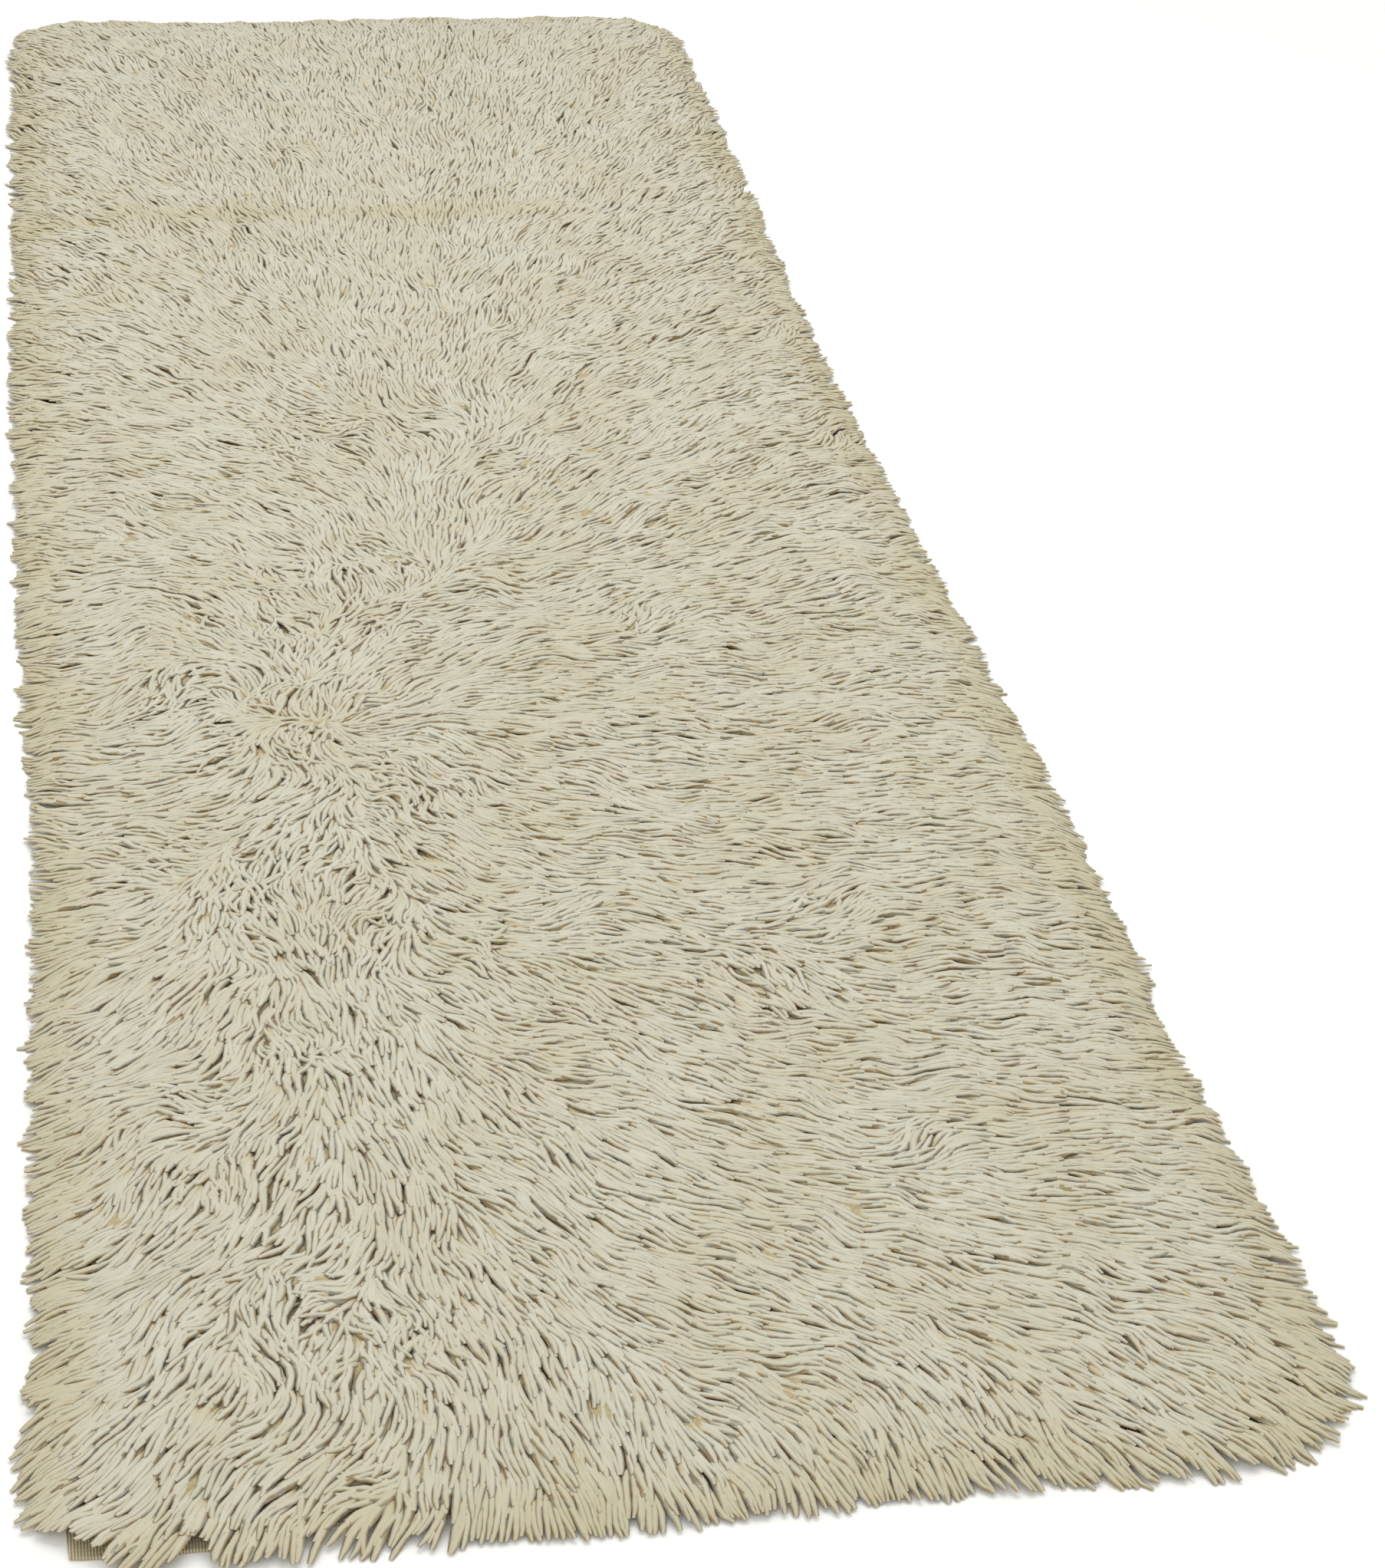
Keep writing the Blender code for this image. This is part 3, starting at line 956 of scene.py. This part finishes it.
@dataclass
class LockLayer:
    """One layer of locks: where they lie, how long they are and how deep.

    Args:
        stations: Places of a lock's points along it from its anchor, in metres.
        sinks: How far each point lies under the pile's top, in metres.
        tapers: The yarn's share of its full width at each point.
        spacings: Passes of placing, each the least spacing across and along the comb.
        trials: How many places are tried in each pass.
        outer: How far outside the ground's edge an anchor may lie.
        seed: The seed of all that is random in the layer.
        stretch: Least and greatest length of a lock, as shares of the usual one.
        level_spread: Spread of the locks' heights.
        crimp: Greatest sideways wave of a lock.
        swell: Its up and down wave.
        root_reach: How far outside the outermost knots a root may lie.
        root_shade_scale: Scale of how far along its lock each point counts, from 0 to 1; below 1 the
            roots' tan and painted shade reach further along the lock.
        tip_share: The share of the rug's tip reach that this layer's tips have.
        stray: Spread of a lock's own slant where combed, and what ruffling adds, in radians.
        bend: Spread of its own bend where combed, and what ruffling adds, in radians a metre.
        shorten: The share of its length that a fully ruffled lock loses.
        ragged: How far the tips at the rim reach in and out, in soft waves.
        tip_spread: Spread of the single tips round those waves.
        crimp_length: Least and greatest length of the sideways wave.
        swell_length: Length of the up and down wave.
        slim: The share of its width that a lock loses at the rim.
    """

    stations: tuple[float, ...]
    sinks: tuple[float, ...]
    tapers: tuple[float, ...]
    spacings: tuple[tuple[float, float], ...]
    trials: int
    outer: float
    seed: int
    stretch: tuple[float, float] = (0.82, 1.2)
    level_spread: float = 0.00033
    crimp: float = 0.0009
    swell: float = 0.0003
    root_reach: float = 0.018
    root_shade_scale: float = 1.0
    tip_share: float = 1.0
    stray: tuple[float, float] = (0.08, 0.34)
    bend: tuple[float, float] = (4.0, 26.0)
    shorten: float = 0.25
    ragged: float = 0.0022
    tip_spread: float = 0.0012
    crimp_length: tuple[float, float] = (0.038, 0.060)
    swell_length: float = 0.024
    slim: float = 0.10

    def place(self, plan: RugPlan, comb: CombField) -> np.ndarray:
        """Scatters anchors so that locks side by side or in line keep their spacing.

        Args:
            plan: The rug's outline and heights.
            comb: The comb directions.

        Returns:
            The anchors, as places in plan.
        """
        dice = np.random.default_rng(self.seed)
        cell = 0.012
        cells: dict[tuple[int, int], list[tuple[float, float]]] = {}
        kept: list[tuple[float, float]] = []
        low = plan.low[:2] - 0.01
        high = plan.high[:2] + 0.01
        for across, along in self.spacings:
            tried = dice.uniform(low, high, (self.trials, 2))
            tried = tried[plan.edge(tried[:, 0], tried[:, 1]) > -self.outer]
            angle = comb.angle(tried[:, 0], tried[:, 1])
            cosines = np.cos(angle)
            sines = np.sin(angle)
            reach = int(math.ceil(along / cell))
            for (x, y), cosine, sine in zip(tried.tolist(), cosines.tolist(), sines.tolist()):
                column = int(x // cell)
                row = int(y // cell)
                near = (
                    (other_x - x, other_y - y)
                    for i in range(column - reach, column + reach + 1)
                    for j in range(row - reach, row + reach + 1)
                    for other_x, other_y in cells.get((i, j), ())
                )
                if not self._crowded(near, cosine, sine, across, along):
                    cells.setdefault((column, row), []).append((x, y))
                    kept.append((x, y))
        return np.array(kept)

    @staticmethod
    def _crowded(
        near: Iterable[tuple[float, float]], cosine: float, sine: float, across: float, along: float
    ) -> bool:
        """Tells whether a lock would lie within the spacing of another.

        Args:
            near: How far each lock nearby is from it, across and along the rug.
            cosine: The cosine of its direction.
            sine: The sine of it.
            across: The least spacing of locks side by side.
            along: The least spacing of locks in line.

        Returns:
            Whether one of them is too near.
        """
        for away_x, away_y in near:
            forward = (away_x * cosine + away_y * sine) / along
            sideways = (away_y * cosine - away_x * sine) / across
            if forward * forward + sideways * sideways < 1.0:
                return True
        return False

    def walk(
        self, anchors: np.ndarray, comb: CombField, scale: np.ndarray, dice: np.random.Generator
    ) -> np.ndarray:
        """Follows the comb both ways from each anchor, with each lock's own slant and bend.

        Args:
            anchors: The anchors in plan.
            comb: The comb directions.
            scale: Each lock's length as a share of the usual one.
            dice: The layer's random numbers.

        Returns:
            The points of the locks in plan, as locks by points by two.
        """
        stations = np.array(self.stations)
        middle = int(np.argmin(np.abs(stations)))
        tousle = comb.tousle(anchors[:, 0], anchors[:, 1])
        slant = dice.normal(0.0, 1.0, len(anchors)) * (self.stray[0] + self.stray[1] * tousle)
        bend = dice.normal(0.0, 1.0, len(anchors)) * (self.bend[0] + self.bend[1] * tousle)
        lines = np.zeros((len(anchors), len(stations), 2))
        lines[:, middle] = anchors
        for order in (range(middle + 1, len(stations)), range(middle - 1, -1, -1)):
            previous = middle
            for step in order:
                gap = (stations[step] - stations[previous]) * scale
                own = slant + bend * 0.5 * (stations[step] + stations[previous])
                here = lines[:, previous]
                angle = comb.angle(here[:, 0], here[:, 1]) + own
                half = here + 0.5 * gap[:, None] * np.stack([np.cos(angle), np.sin(angle)], axis=1)
                angle = comb.angle(half[:, 0], half[:, 1]) + own
                lines[:, step] = here + gap[:, None] * np.stack([np.cos(angle), np.sin(angle)], axis=1)
                previous = step
        return lines

    @staticmethod
    def ease(values: np.ndarray) -> np.ndarray:
        """Evens out the inner points of each line.

        Args:
            values: Values by line and point.

        Returns:
            The eased values, with the ends as they were.
        """
        eased = values.copy()
        eased[:, 1:-1] = 0.25 * values[:, :-2] + 0.5 * values[:, 1:-1] + 0.25 * values[:, 2:]
        return eased

    def trim(self, plan: RugPlan, flat: np.ndarray, limit: np.ndarray) -> tuple[np.ndarray, np.ndarray]:
        """Shortens the locks whose tips lie too far outside the ground's edge.

        Args:
            plan: The rug's outline and heights.
            flat: The points of the locks in plan.
            limit: How far each tip may lie outside.

        Returns:
            The points of the shortened locks, and the share of each lock that is kept.
        """
        x, y = flat[..., 0], flat[..., 1]
        outside = -plan.edge(x, y) - (limit - plan.bare(x, y).T).T
        steps = flat.shape[1]
        over = outside > 0.0
        over[:, :2] = False
        first = np.where(over.any(axis=1), over.argmax(axis=1), steps)
        rows = np.arange(len(flat))
        beyond = np.minimum(first, steps - 1)
        gap = outside[rows, beyond] - outside[rows, beyond - 1]
        part = np.clip(-outside[rows, beyond - 1] / np.where(gap > 1e-6, gap, 1.0), 0.0, 1.0)
        kept = np.where(first < steps, (beyond - 1 + part) / (steps - 1), 1.0)
        place = np.arange(steps)[None, :] * kept[:, None]
        low = np.minimum(place.astype(int), steps - 2)
        share = (place - low)[..., None]
        return flat[rows[:, None], low] * (1 - share) + flat[rows[:, None], low + 1] * share, kept

    def lines(
        self, plan: RugPlan, comb: CombField, width: float
    ) -> tuple[np.ndarray, dict[str, np.ndarray]]:
        """Lays out the layer's locks.

        Args:
            plan: The rug's outline and heights.
            comb: The comb directions.
            width: The yarn's full width.

        Returns:
            The points of the locks, and the values that each point carries.
        """
        anchors = self.place(plan, comb)
        dice = np.random.default_rng(self.seed + 1)
        scale = dice.uniform(*self.stretch, len(anchors))
        scale = scale * (1.0 - self.shorten * comb.tousle(anchors[:, 0], anchors[:, 1]))
        flat = self.walk(anchors, comb, scale, dice)
        rooted = plan.knots(flat[:, 0, 0], flat[:, 0, 1]) > -self.root_reach
        flat = flat[rooted]
        scale = scale[rooted]
        ragged = self.ragged * SmoothNoise(0.07, seed=33).at(flat[:, -1, 0], flat[:, -1, 1])
        limit = self.tip_share * plan.tip_reach + ragged + dice.normal(0.0, self.tip_spread, len(flat))
        flat, kept = self.trim(plan, flat, limit)
        whole = kept > 0.5
        flat, kept, scale = flat[whole], kept[whole], scale[whole]
        count, steps = flat.shape[:2]
        x, y = flat[..., 0], flat[..., 1]
        warp = Warp()
        x, y = warp.bend(x, y, comb.tousle(x, y))
        along = (np.array(self.stations) - self.stations[0])[None, :] * (scale * kept)[:, None]
        phase = along / dice.uniform(*self.crimp_length, (count, 1)) + dice.uniform(0.0, 1.0, (count, 1))
        crimp = np.sin(2.0 * math.pi * phase) * dice.uniform(0.1, 1.0, (count, 1)) * self.crimp
        ahead = np.gradient(x, axis=1), np.gradient(y, axis=1)
        size = np.hypot(*ahead) + 1e-9
        x = self.ease(x - ahead[1] / size * crimp)
        y = self.ease(y + ahead[0] / size * crimp)
        sink = np.array(self.sinks)[None, :] + dice.normal(0.0, self.level_spread, (count, 1))
        swell = np.sin(2.0 * math.pi * (along / self.swell_length + dice.uniform(0.0, 1.0, (count, 1))))
        sink = sink + self.swell * swell
        taper = np.array(self.tapers)[None, :] * dice.uniform(0.8, 1.2, (count, 1))
        taper = taper * (1.0 - self.slim * smooth_step(0.6 - plan.edge(x, y) / 0.03))
        thick = width / math.sqrt(3.0) * YarnSweep.FLATNESS * taper
        top = plan.top(x, y) + plan.unevenness * SmoothNoise(0.05, seed=31).at(x, y)
        height = top - thick - sink
        inside = smooth_step(plan.edge(x, y) / 0.006 + 0.5)
        floor = 0.0004 + 0.5 * thick + inside * plan.ground_top
        height = np.maximum(height, floor)
        # How far each point is tanned: yellowing, the band, and painted shade at the rim
        tan_and_rim_shade = YellowingAndRimShade().at(plan, x, y, dice)
        values = {
            "taper": taper,
            "length": along,
            # Share along the lock, scaled down where the roots' tan and painted shade reach further, as
            # on a lower layer
            "reach": self.root_shade_scale * along / along[:, -1:],
            "tone": np.broadcast_to(dice.uniform(0.0, 1.0, (count, 1)), (count, steps)),
            "tan_and_rim_shade": tan_and_rim_shade,
        }
        return np.stack([x, y, height], axis=-1), values


@dataclass(frozen=True)
class YellowingAndRimShade:
    """How far the wool is mixed towards tan: painted shade at the rim, where the pile curves down, a
    faint tan band across the rug, and yellowed wool in soft patches.

    Args:
        rim: The most painted shade that the rim adds.
        rim_start: How far outside the ground's edge that begins to fade.
        rim_fade: The distance over which it fades inwards.
        patches: The most that the patches add.
        patch_length: Their size.
        band: The most that the band adds.
        band_place: Where along the rug it lies.
        band_half: Its half width.
        band_end: Where across the rug it ends.
        band_fade: The distance over which it fades there.
        own: The most that a lock adds of its own.
    """

    rim: float = 0.5
    rim_start: float = 0.03
    rim_fade: float = 0.07
    patches: float = 0.25
    patch_length: float = 0.16
    band: float = 0.5
    band_place: float = 0.695
    band_half: float = 0.026
    band_end: float = 0.26
    band_fade: float = 0.2
    own: float = 0.16

    def at(self, plan: RugPlan, x: np.ndarray, y: np.ndarray, dice: np.random.Generator) -> np.ndarray:
        """Gives how far each point is mixed towards tan, by yellowing, the band and painted shade at the
        rim.

        Args:
            plan: The rug's outline.
            x: Places across the rug, by lock and point.
            y: Places along it.
            dice: The layer's random numbers.

        Returns:
            Values from 0, clean and unshaded, to 1.
        """
        # Painted shade at the rim, where the pile curves down towards the floor
        rim = 1.0 - smooth_step((plan.edge(x, y) + self.rim_start) / self.rim_fade)
        patches = 0.5 + 0.5 * np.tanh(SmoothNoise(self.patch_length, seed=32).at(x, y))
        band = np.exp(-(((y - self.band_place) / self.band_half) ** 2))
        band = band * smooth_step((self.band_end - x) / self.band_fade)
        own = dice.uniform(0.0, self.own, (x.shape[0], 1))
        return np.clip(self.rim * rim + self.patches * patches + self.band * band + own, 0.0, 1.0)


@dataclass
class Warp:
    """Draws neighbouring locks together and apart, so that they bunch and leave gaps.

    Args:
        reach: How far a point is shifted in combed pile.
        tousled_reach: How much further it is shifted in tousled pile.
        length: The size of the bunches.
    """

    reach: float = 0.0008
    tousled_reach: float = 0.0008
    length: float = 0.034

    def bend(self, x: np.ndarray, y: np.ndarray, tousle: np.ndarray) -> tuple[np.ndarray, np.ndarray]:
        """Shifts points by a soft field.

        Args:
            x: Places across the rug.
            y: Places along it.
            tousle: How tousled each place is.

        Returns:
            The shifted places.
        """
        reach = self.reach + self.tousled_reach * tousle
        shift_x = SmoothNoise(self.length, seed=21).at(x, y)
        shift_y = SmoothNoise(self.length, seed=22).at(x, y)
        return x + reach * shift_x, y + reach * shift_y


class Band(Enum):
    """The five lengths of the rug that its locks are grouped in, from front to back."""

    FRONT = 0
    NEAR = 1
    MIDDLE = 2
    FAR = 3
    BACK = 4


@dataclass
class Pile:
    """The pile's locks: a top layer of combed locks and shorter ones under them; the matted base is
    built apart, by PileBed.

    Args:
        yarn_width: Full width of the yarn.
        under_width: Width of the locks in the lower layer.
        top: The combed locks that show.
        under: The locks that fill the gaps between those.
    """

    yarn_width: float = 0.0062
    under_width: float = 0.0086
    top: LockLayer = field(
        default_factory=lambda: LockLayer(
            stations=(-0.0250, -0.0145, -0.0050, 0.0040, 0.0125, 0.0200),
            sinks=(0.0060, 0.0026, 0.0017, 0.0012, 0.0009, 0.0018),
            tapers=(0.78, 1.0, 1.0, 1.0, 0.95, 0.56),
            spacings=((0.0033, 0.032), (0.0029, 0.027), (0.0026, 0.0232)),
            trials=170000,
            outer=0.023,
            seed=5,
        )
    )
    under: LockLayer = field(
        default_factory=lambda: LockLayer(
            stations=(-0.0280, -0.0120, 0.0040, 0.0180),
            sinks=(0.0042, 0.0019, 0.0014, 0.0017),
            tapers=(0.85, 1.0, 0.97, 0.40),
            spacings=((0.0066, 0.034), (0.0061, 0.029)),
            trials=60000,
            outer=0.020,
            seed=8,
            stray=(0.06, 0.15),
            bend=(3.0, 8.0),
            shorten=0.0,
            # The lower layer takes the roots' tan and painted shade further along its locks
            root_shade_scale=0.8,
            tip_share=0.97,
        )
    )

    def build(self, plan: RugPlan, comb: CombField) -> list[bpy.types.Object]:
        """Makes the locks, in bands along the rug.

        Args:
            plan: The rug's outline and heights.
            comb: The comb directions.

        Returns:
            The pieces.
        """
        sweep = YarnSweep(WoolYarnFinish().make())
        pieces = []
        layers = (
            ("top", self.top, self.yarn_width, tuple(Band)),
            ("under", self.under, self.under_width, (Band.FRONT, Band.BACK)),
        )
        for label, layer, width, bands in layers:
            lines, values = layer.lines(plan, comb, width)
            middle = lines[:, len(layer.stations) // 2, 1]
            edges = np.quantile(middle, np.linspace(0.0, 1.0, len(bands) + 1))
            edges[0] -= 1.0
            edges[-1] += 1.0
            for number, band in enumerate(bands):
                chosen = (middle >= edges[number]) & (middle < edges[number + 1])
                piece = sweep.make(
                    f"{label}_locks_{band.name.lower()}",
                    lines[chosen],
                    width,
                    {key: value[chosen] for key, value in values.items()},
                )
                pieces.append(piece)
                log.info("%s: %d locks, %d faces", piece.name, chosen.sum(), len(piece.data.polygons))
        return pieces


@dataclass
class PileBed:
    """The matted foot of the pile, a lumpy layer that closes the gaps between the locks.

    Args:
        pitch: Size of its facets.
        sink: How far it lies under the pile's top.
        inset: How far its rim lies inside the outermost knots.
        lump: Spread of its lumps' heights.
        least: Its least height over the ground.
    """

    pitch: float = 0.016
    sink: float = 0.0055
    inset: float = 0.004
    lump: float = 0.0007
    least: float = 0.003

    def build(self, plan: RugPlan) -> bpy.types.Object:
        """Makes the matted base as one closed mesh.

        Args:
            plan: The rug's outline and heights.

        Returns:
            The piece.
        """
        low = plan.low[:2]
        high = plan.high[:2]
        across = max(2, round((high[0] - low[0]) / self.pitch))
        along = max(2, round((high[1] - low[1]) / self.pitch))
        mesh = bmesh.new()
        bmesh.ops.create_grid(mesh, x_segments=across, y_segments=along, size=0.5)
        places = np.array([v.co[:2] for v in mesh.verts]) * (high - low) + (high + low) / 2
        depth = plan.knots(places[:, 0], places[:, 1]) - self.inset
        lump = self.lump * SmoothNoise(0.03, seed=41).at(places[:, 0], places[:, 1])
        tops = plan.top(places[:, 0], places[:, 1]) - self.sink + lump
        tops = np.maximum(tops, plan.ground_top + self.least)
        for vertex, place, height in zip(mesh.verts, places, tops):
            vertex.co = (place[0], place[1], height)
        outside = [v for v, inner in zip(list(mesh.verts), depth) if inner < 0.0]
        bmesh.ops.delete(mesh, geom=outside, context="VERTS")
        loose = [v for v in mesh.verts if len(v.link_faces) == 0]
        bmesh.ops.delete(mesh, geom=loose, context="VERTS")
        rim = [edge for edge in mesh.edges if edge.is_boundary]
        skirt = bmesh.ops.extrude_edge_only(mesh, edges=rim)["geom"]
        set_height(skirt, plan.ground_top + 0.0003)
        floor = [edge for edge in mesh.edges if edge.is_boundary]
        bmesh.ops.contextual_create(mesh, geom=floor)
        bed = finish_mesh("pile_bed", mesh, MattedWoolFinish())
        bed.data.shade_smooth()
        return bed


@dataclass
class GroundCloth:
    """The woven ground: one sheet of cloth with the outline of its solid."""

    def build(self, plan: RugPlan) -> bpy.types.Object:
        """Makes the sheet, closed, with its underside on the floor.

        Args:
            plan: The rug's outline and heights.

        Returns:
            The piece.
        """
        mesh = bmesh.new()
        corners = [mesh.verts.new((x, y, 0.0)) for x, y in plan.outline]
        sheet = mesh.faces.new(corners)
        raised = bmesh.ops.extrude_face_region(mesh, geom=[sheet])["geom"]
        set_height(raised, plan.ground_top)
        bmesh.ops.triangulate(mesh, faces=[face for face in mesh.faces if len(face.verts) > 4])
        return finish_mesh("ground_cloth", mesh, WovenWoolFinish())


@dataclass
class Studio:
    """The pale floor, the soft lights and the camera of the photograph.

    Args:
        eye: Where the camera stands.
        turn: The camera's rotation in degrees, about X, Y and Z.
        lens: Its focal length for a 36 mm high frame.
        floor_half: Half the side of the floor.
        floor_height: Its height, just under the rug, so that the two don't touch.
        room_light: Strength of the light from all round.
    """

    eye: tuple[float, float, float] = (-0.380, -2.968, 1.526)
    turn: tuple[float, float, float] = (58.41, -2.95, -10.01)
    lens: float = 77.9
    floor_half: float = 14.0
    floor_height: float = -0.0005
    room_light: float = 0.75

    def build(self) -> None:
        """Makes the floor, the lights and the camera."""
        mesh = bpy.data.meshes.new("studio_floor")
        signs = ((-1, -1), (1, -1), (1, 1), (-1, 1))
        corners = [(a * self.floor_half, b * self.floor_half, self.floor_height) for a, b in signs]
        mesh.from_pydata(corners, [], [(0, 1, 2, 3)])
        mesh.materials.append(StudioFloorFinish().make())
        link_data("studio_floor", mesh)
        self._light("overhead_softbox", (0.2, 0.6, 3.6), (0.0, 0.2, 0.0), 3.0, 63.0)
        self._light("front_softbox", (-0.9, -3.6, 2.8), (0.0, 0.3, 0.0), 2.4, 26.0)
        world = bpy.data.worlds.new("soft_room_light")
        world.use_nodes = True
        background = world.node_tree.nodes["Background"]
        background.inputs["Color"].default_value = linear("#fbfaf6")
        background.inputs["Strength"].default_value = self.room_light
        bpy.context.scene.world = world
        data = bpy.data.cameras.new("photo_camera")
        data.sensor_fit = "VERTICAL"
        data.sensor_height = 36.0
        data.lens = self.lens
        data.clip_end = 50.0
        camera = link_data("photo_camera", data)
        camera.location = self.eye
        camera.rotation_euler = [math.radians(part) for part in self.turn]
        bpy.context.scene.camera = camera
        bpy.context.scene.view_settings.view_transform = "Standard"

    def _light(self, name: str, place: tuple, aim: tuple, size: float, power: float) -> None:
        """Hangs one square soft light.

        Args:
            name: Its name.
            place: Where it hangs.
            aim: The place that it faces.
            size: Its side, in metres.
            power: Its power, in watts.
        """
        data = bpy.data.lights.new(name, "AREA")
        data.shape = "SQUARE"
        data.size = size
        data.energy = power
        item = link_data(name, data)
        item.location = place
        item.rotation_euler = (Vector(aim) - Vector(place)).to_track_quat("-Z", "Y").to_euler()


def main() -> None:
    """Builds the rug piece by piece, and logs each lock piece and the triangles in all."""
    logging.basicConfig(level=logging.INFO, format="%(name)s: %(message)s")
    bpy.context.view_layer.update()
    Studio().build()
    plan = RugPlan()
    comb = CombField()
    log.info("plan read: %d by %d grid", *plan.shape)
    cloth = GroundCloth().build(plan)
    bed = PileBed().build(plan)
    locks = Pile().build(plan, comb)
    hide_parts(GROUND_NODE)
    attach(cloth, BODY)
    for piece in [bed, *locks]:
        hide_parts(PILE_NODE)
        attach(piece, BODY)
    polygons = [polygon for piece in [cloth, bed, *locks] for polygon in piece.data.polygons]
    log.info("triangles in all: %d", sum(len(polygon.vertices) - 2 for polygon in polygons))


if __name__ == "__main__":
    main()
